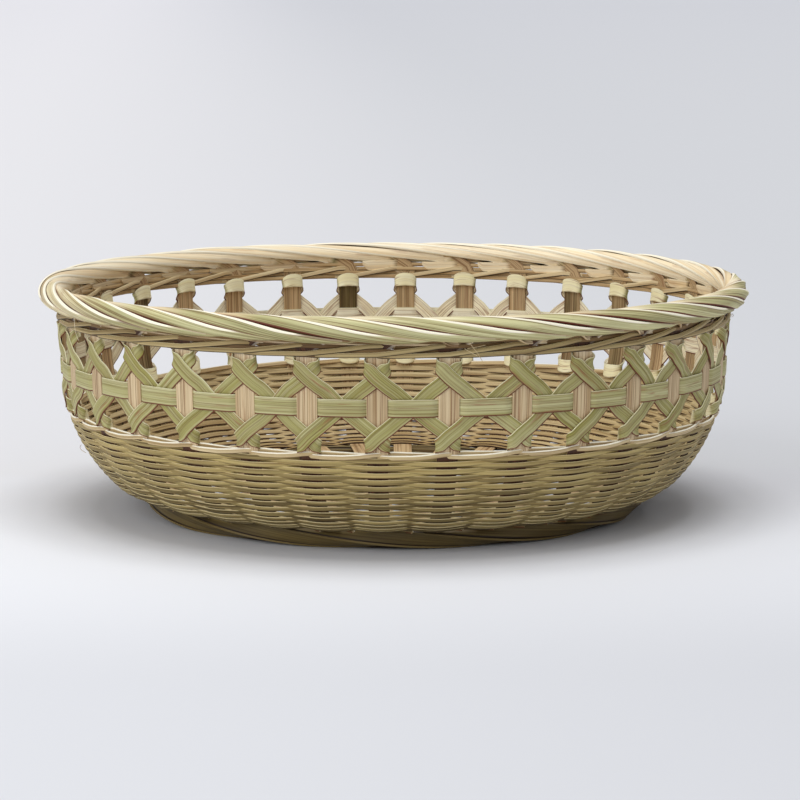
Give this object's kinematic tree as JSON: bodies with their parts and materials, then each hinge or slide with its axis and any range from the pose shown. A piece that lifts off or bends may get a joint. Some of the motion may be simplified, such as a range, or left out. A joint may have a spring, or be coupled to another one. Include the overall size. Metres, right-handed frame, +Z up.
{
  "type": "openwork bamboo fruit basket",
  "caption": "Round bowl-shaped bamboo basket with a rolled rim, an open looped lattice band, a closely woven wall and a twisted foot ring.",
  "frame": {"origin": "middle of the circle that the foot ring stands on", "axes": "+Z up through the open mouth; +X and +Y along the two directions of the floor splints"},
  "size_m": [0.3196, 0.3196, 0.1054],
  "materials": {
    "stake_bamboo": "split bamboo, pith side out, satin",
    "weft_bamboo": "fine split bamboo, satin",
    "green_bamboo": "green bamboo skin, soft sheen",
    "wale_bamboo": "fine split bamboo, satin",
    "core_bamboo": "bare bamboo, matt",
    "foot_bamboo": "olive bamboo skin, satin"
  },
  "bodies": {
    "root": {"splint_lengthwise_1": "stake_bamboo", "splint_lengthwise_2": "stake_bamboo", "splint_lengthwise_3": "stake_bamboo", "splint_lengthwise_4": "stake_bamboo", "splint_lengthwise_5": "stake_bamboo", "splint_lengthwise_6": "stake_bamboo", "splint_lengthwise_7": "stake_bamboo", "splint_lengthwise_8": "stake_bamboo", "splint_crosswise_1": "stake_bamboo", "splint_crosswise_2": "stake_bamboo", "splint_crosswise_3": "stake_bamboo", "splint_crosswise_4": "stake_bamboo", "splint_crosswise_5": "stake_bamboo", "splint_crosswise_6": "stake_bamboo", "splint_crosswise_7": "stake_bamboo", "splint_crosswise_8": "stake_bamboo", "wall_row_1": "weft_bamboo", "wall_row_2": "weft_bamboo", "wall_row_3": "weft_bamboo", "wall_row_4": "weft_bamboo", "wall_row_5": "weft_bamboo", "wall_row_6": "weft_bamboo", "wall_row_7": "weft_bamboo", "wall_row_8": "weft_bamboo", "wall_row_9": "weft_bamboo", "wall_row_10": "weft_bamboo", "rim_wale_1": "wale_bamboo", "rim_wale_2": "wale_bamboo", "band_belt": "green_bamboo", "lattice_strip_outer": "green_bamboo", "lattice_strip_inner": "green_bamboo", "rim_core": "core_bamboo", "foot_hoop": "foot_bamboo", "foot_strand_1": "foot_bamboo", "foot_strand_2": "foot_bamboo", "foot_strand_3": "foot_bamboo"}
  },
  "joints": []
}
